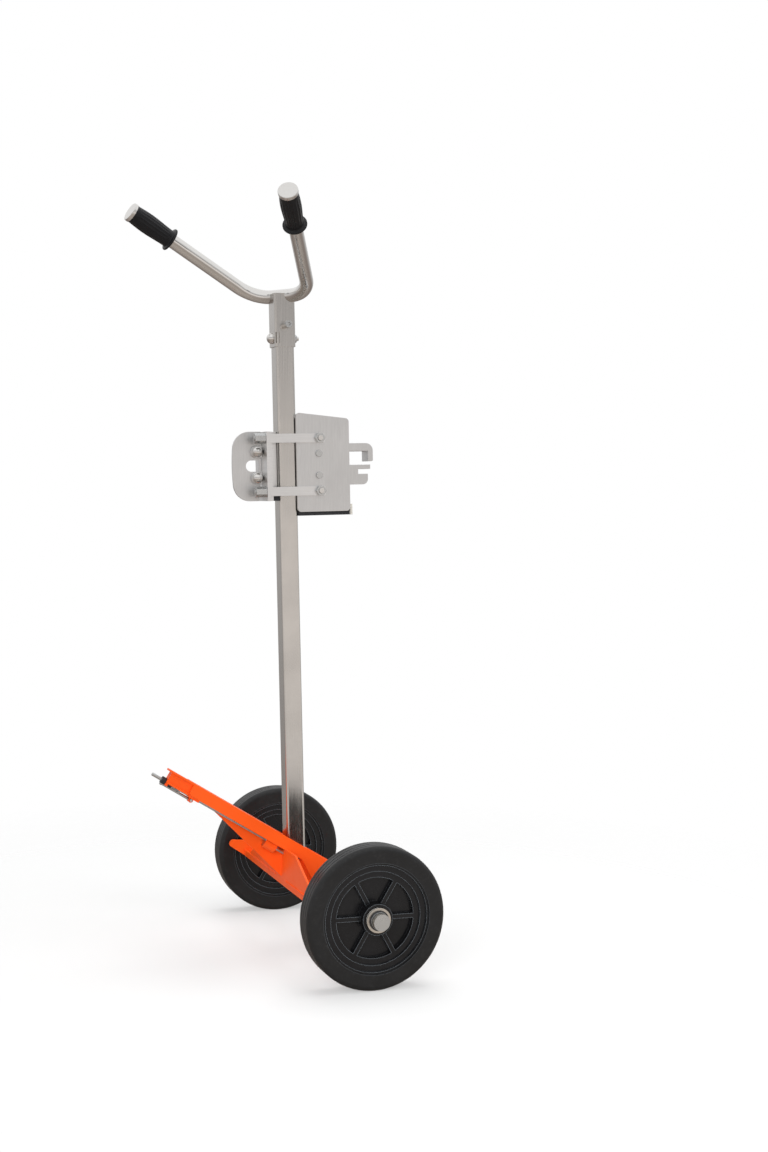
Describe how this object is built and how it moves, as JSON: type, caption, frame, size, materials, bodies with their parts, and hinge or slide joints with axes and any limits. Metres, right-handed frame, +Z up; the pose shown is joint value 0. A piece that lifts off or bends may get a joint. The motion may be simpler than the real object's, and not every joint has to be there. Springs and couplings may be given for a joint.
{
  "type": "drum trolley",
  "caption": "Wheeled drum trolley with a folding square mast, a sliding rim gripper, a foot lever and a bent handlebar, for tipping a drum back and rolling it away.",
  "frame": {"origin": "on the floor, midway between the wheels and straight below the axle", "axes": "+X forward to the drum, +Y to the left wheel, +Z up"},
  "size_m": [0.5143, 0.671, 1.3636],
  "materials": {
    "orange_coat": "gloss",
    "satin_stainless": "satin",
    "polished_stainless": "polished",
    "bright_steel": "satin",
    "zinc_yellow": "satin",
    "bronze": "satin",
    "tyre_rubber": "matte",
    "rim_plastic": "matte",
    "bush_plastic": "matte",
    "grip_rubber": "matte",
    "pad_grey": "matte",
    "dark_plastic": "matte"
  },
  "bodies": {
    "base_frame": {"axle": "bright_steel", "axle_arms": "orange_coat", "axle_rings": "bright_steel", "axle_washers": "zinc_yellow", "cross_beam": "orange_coat", "gusset_plate": "orange_coat", "lever_closer": "orange_coat", "lever_cover": "orange_coat", "lever_rails": "orange_coat", "lever_web": "orange_coat", "pedal_tip": "orange_coat", "rod_guide_boss": "orange_coat", "rod_tail_bush": "dark_plastic", "rod_tail_plate": "orange_coat", "trigger_ears": "orange_coat", "latch_spring": "bright_steel"},
    "mast": {"mast_socket": "orange_coat", "mast_foot_plates": "orange_coat", "mast_hub_tube": "orange_coat", "mast_hub_bush": "bronze", "mast_tube": "satin_stainless", "mast_foot_bolt": "bright_steel", "handlebar": "polished_stainless", "handle_sleeve": "satin_stainless", "sleeve_spacer": "satin_stainless", "sleeve_screw": "bright_steel", "sleeve_dome_bolt": "polished_stainless", "sleeve_nuts": "bright_steel", "left_grip": "grip_rubber", "left_grip_cap": "polished_stainless", "right_grip": "grip_rubber", "right_grip_cap": "polished_stainless"},
    "right_wheel": {"right_tyre": "tyre_rubber", "right_rim": "rim_plastic", "right_bushes": "bush_plastic"},
    "left_wheel": {"left_tyre": "tyre_rubber", "left_rim": "rim_plastic", "left_bushes": "bush_plastic"},
    "gripper_head": {"head_cheeks": "satin_stainless", "head_straps": "satin_stainless", "strap_studs": "bright_steel", "head_nuts": "bright_steel", "slide_pads": "bush_plastic", "strap_bolts": "bright_steel", "head_spacers": "satin_stainless", "head_yoke": "satin_stainless", "brake_pads": "dark_plastic", "head_block": "dark_plastic", "front_pad": "pad_grey", "jaw_pins": "polished_stainless", "release_lugs": "satin_stainless", "release_bolts": "bright_steel", "dome_nuts": "polished_stainless"},
    "upper_jaw": {"upper_jaw": "satin_stainless"},
    "lower_jaw": {"lower_jaw": "satin_stainless"},
    "release_plate": {"release_plate": "satin_stainless"},
    "latch_rod": {"latch_pin": "bright_steel", "latch_rod": "bright_steel", "latch_collar": "bright_steel"},
    "latch_trigger": {"latch_trigger": "bright_steel"}
  },
  "joints": [
    {"name": "mast_fold", "type": "hinge", "parent": "base_frame", "child": "mast", "pos_m": [0, 0, 0.125], "axis": [0, 1, 0], "range_deg": [0, 80]},
    {"name": "right_wheel_spin", "type": "hinge", "parent": "base_frame", "child": "right_wheel", "pos_m": [0, -0.2865, 0.125], "axis": [0, 1, 0], "continuous": true},
    {"name": "left_wheel_spin", "type": "hinge", "parent": "base_frame", "child": "left_wheel", "pos_m": [0, 0.2865, 0.125], "axis": [0, 1, 0], "continuous": true},
    {"name": "head_slide", "type": "slide", "parent": "mast", "child": "gripper_head", "axis": [-0.0454, 0, 0.999], "range_m": [-0.45, 0.1]},
    {"name": "upper_jaw_turn", "type": "hinge", "parent": "gripper_head", "child": "upper_jaw", "pos_m": [-0.02838, 0, 0.92346], "axis": [0, -1, 0], "range_deg": [0, 25]},
    {"name": "lower_jaw_turn", "type": "hinge", "parent": "gripper_head", "child": "lower_jaw", "pos_m": [-0.02655, 0, 0.8832], "axis": [0, 1, 0], "range_deg": [0, 20]},
    {"name": "release_pull", "type": "hinge", "parent": "gripper_head", "child": "release_plate", "pos_m": [-0.14027, 0, 0.87453], "axis": [0, -1, 0], "range_deg": [0, 8]},
    {"name": "latch_slide", "type": "slide", "parent": "base_frame", "child": "latch_rod", "axis": [0.8572, 0, -0.515], "range_m": [0, 0.012], "deforming": ["latch_spring"]},
    {"name": "latch_trigger_turn", "type": "hinge", "parent": "base_frame", "child": "latch_trigger", "pos_m": [-0.25355, 0, 0.28551], "axis": [0, -1, 0], "range_deg": [0, 15]}
  ],
  "couplings": [
    {"joint": "lower_jaw_turn", "follows": "upper_jaw_turn", "ratio": 0.8},
    {"joint": "latch_trigger_turn", "follows": "latch_slide", "rad_per_m": 21.8}
  ]
}
